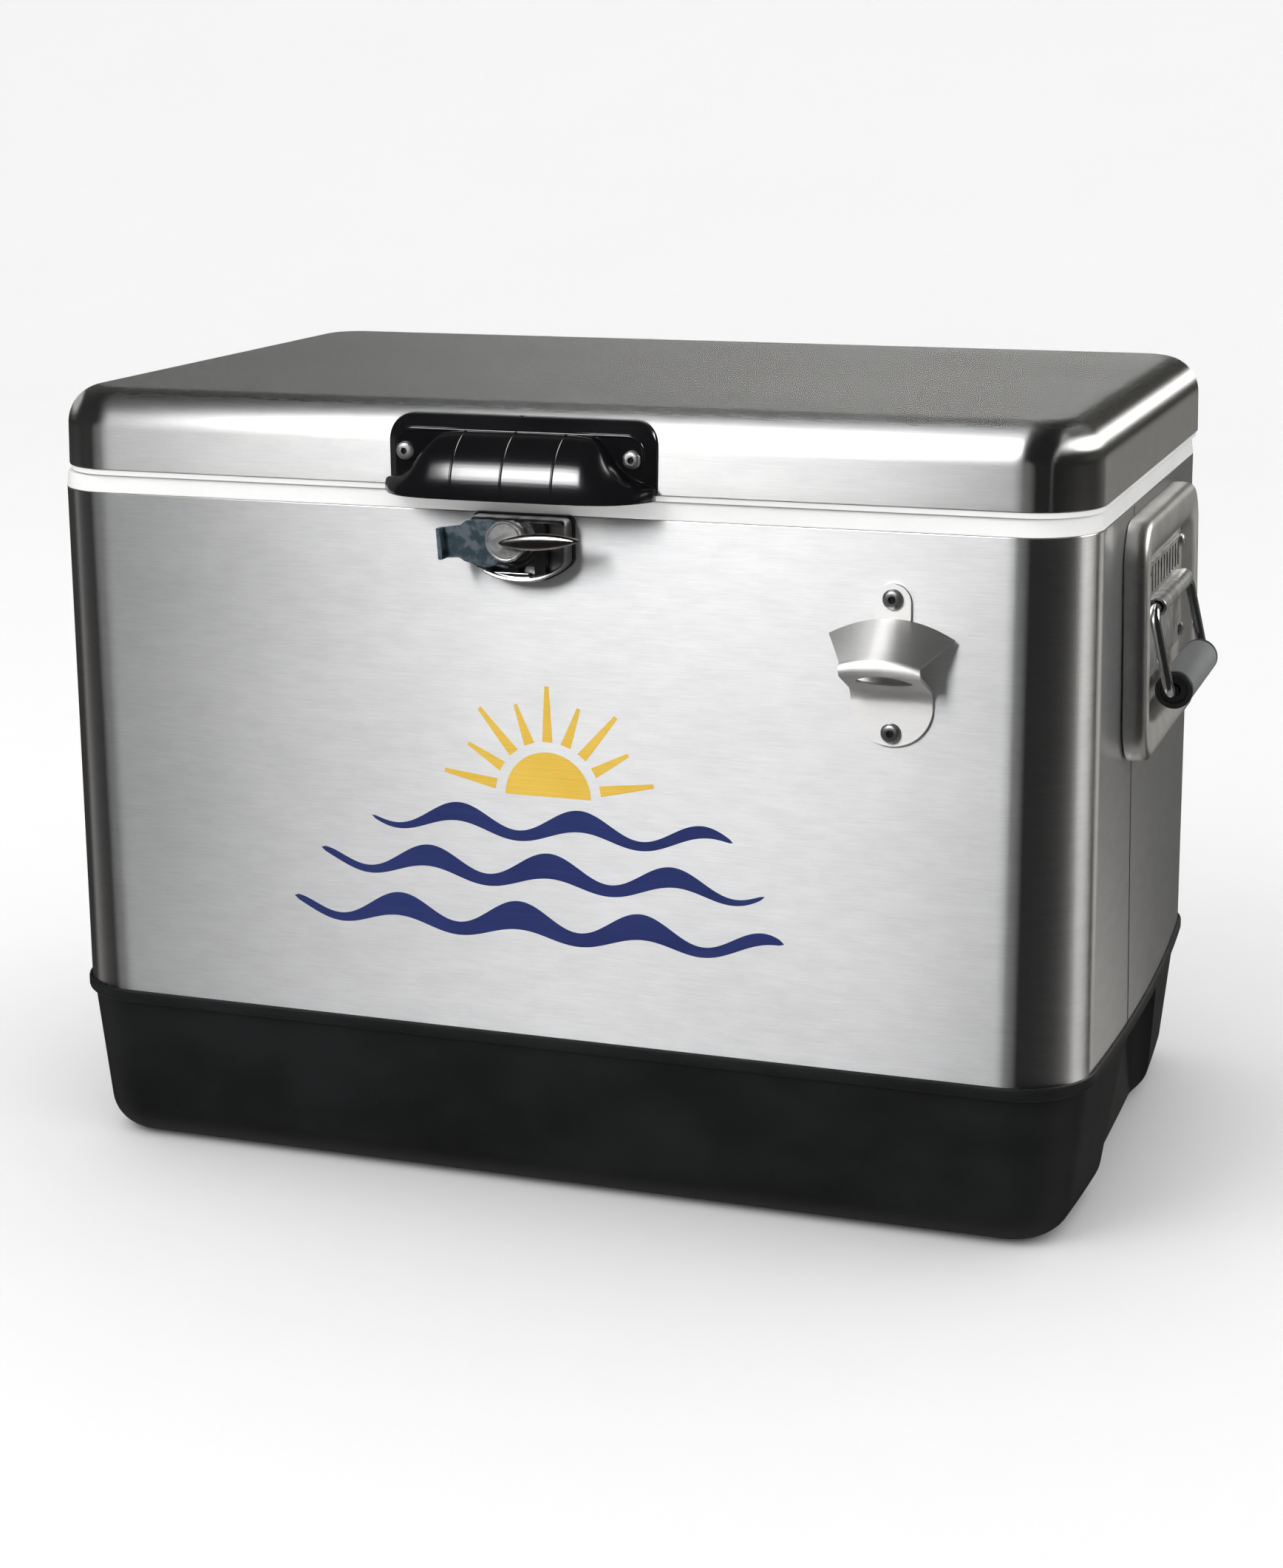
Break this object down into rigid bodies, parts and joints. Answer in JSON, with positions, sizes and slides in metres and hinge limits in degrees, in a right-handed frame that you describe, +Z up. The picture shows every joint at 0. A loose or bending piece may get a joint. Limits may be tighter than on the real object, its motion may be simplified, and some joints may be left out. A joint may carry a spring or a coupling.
{
  "type": "cooler chest",
  "caption": "Steel-belted insulated cooler chest with a hinged lid, turn latch, bottle opener, drop handles and a drain.",
  "frame": {"origin": "middle of the flat underside of the base", "axes": "+X towards the end with the bottle opener, -Y out of the front with the latch, +Z up through the lid"},
  "size_m": [0.668, 0.4205, 0.45],
  "materials": {
    "brushed_steel": "brushed stainless sheet",
    "chrome": "bright plated",
    "zinc": "blue-tinged zinc plate",
    "black_plastic": "fine-grained moulded black",
    "gloss_black": "polished moulded black",
    "white_plastic": "satin white",
    "foam": "rigid insulating foam",
    "grey_rubber": "soft grey sleeve",
    "black_rubber": "black rubber"
  },
  "bodies": {
    "chest": {"base_tub": "black_plastic", "body_belt": "brushed_steel", "body_foam": "foam", "inner_liner": "white_plastic", "drain_spout": "black_plastic", "latch_backplate": "black_plastic", "latch_housing": "chrome", "latch_spring_washer": "zinc", "latch_rivet_upper": "chrome", "latch_rivet_lower": "chrome", "bottle_opener": "brushed_steel", "opener_rivet_top": "chrome", "opener_rivet_bottom": "chrome", "handle_plate_right": "brushed_steel", "handle_clip_right": "zinc", "handle_plate_left": "brushed_steel", "handle_clip_left": "zinc", "handle_rivet_right_1": "chrome", "handle_rivet_right_2": "chrome", "handle_rivet_right_3": "chrome", "handle_rivet_right_4": "chrome", "handle_rivet_left_1": "chrome", "handle_rivet_left_2": "chrome", "handle_rivet_left_3": "chrome", "handle_rivet_left_4": "chrome", "hinge_body_leaf_right": "brushed_steel", "hinge_body_leaf_left": "brushed_steel", "hinge_pin_right": "chrome", "hinge_pin_left": "chrome", "hinge_body_rivet_right_a": "chrome", "hinge_body_rivet_right_b": "chrome", "hinge_body_rivet_left_a": "chrome", "hinge_body_rivet_left_b": "chrome"},
    "lid": {"lid_pan": "brushed_steel", "lid_foam": "foam", "lid_liner": "white_plastic", "lid_grip": "gloss_black", "grip_rivet_left": "chrome", "grip_rivet_right": "chrome", "hinge_lid_leaf_right": "brushed_steel", "hinge_lid_leaf_left": "brushed_steel", "hinge_lid_rivet_right_a": "chrome", "hinge_lid_rivet_right_b": "chrome", "hinge_lid_rivet_left_a": "chrome", "hinge_lid_rivet_left_b": "chrome"},
    "latch": {"latch_tongue": "zinc", "latch_disc": "brushed_steel", "latch_lever": "chrome"},
    "drain_plug": {"drain_cap": "black_plastic", "drain_cap_seal": "black_rubber"},
    "bail_right_wire": {"bail_right": "chrome"},
    "sleeve_right": {"grip_sleeve_right": "grey_rubber", "grip_cap_right_front": "black_rubber", "grip_cap_right_rear": "black_rubber"},
    "bail_left_wire": {"bail_left": "chrome"},
    "sleeve_left": {"grip_sleeve_left": "grey_rubber", "grip_cap_left_front": "black_rubber", "grip_cap_left_rear": "black_rubber"}
  },
  "joints": [
    {"name": "lid_hinge", "type": "hinge", "parent": "chest", "child": "lid", "pos_m": [0, 0.195, 0.399], "axis": [-1, 0, 0], "range_deg": [0, 100]},
    {"name": "latch_turn", "type": "hinge", "parent": "chest", "child": "latch", "pos_m": [-0.0085, -0.2, 0.38], "axis": [0, 1, 0], "range_deg": [0, 94]},
    {"name": "bail_right_swing", "type": "hinge", "parent": "chest", "child": "bail_right_wire", "pos_m": [0.3126, 0, 0.33398], "axis": [0, -1, 0], "range_deg": [0, 80]},
    {"name": "bail_left_swing", "type": "hinge", "parent": "chest", "child": "bail_left_wire", "pos_m": [-0.3126, 0, 0.33398], "axis": [0, 1, 0], "range_deg": [0, 80]},
    {"name": "sleeve_right_spin", "type": "hinge", "parent": "bail_right_wire", "child": "sleeve_right", "pos_m": [0.3235, 0, 0.28785], "axis": [0, 1, 0], "continuous": true},
    {"name": "sleeve_left_spin", "type": "hinge", "parent": "bail_left_wire", "child": "sleeve_left", "pos_m": [-0.3235, 0, 0.28785], "axis": [0, 1, 0], "continuous": true},
    {"name": "drain_cap_pull", "type": "slide", "parent": "chest", "child": "drain_plug", "axis": [-1, 0, 0], "range_m": [0, 0.024]}
  ]
}
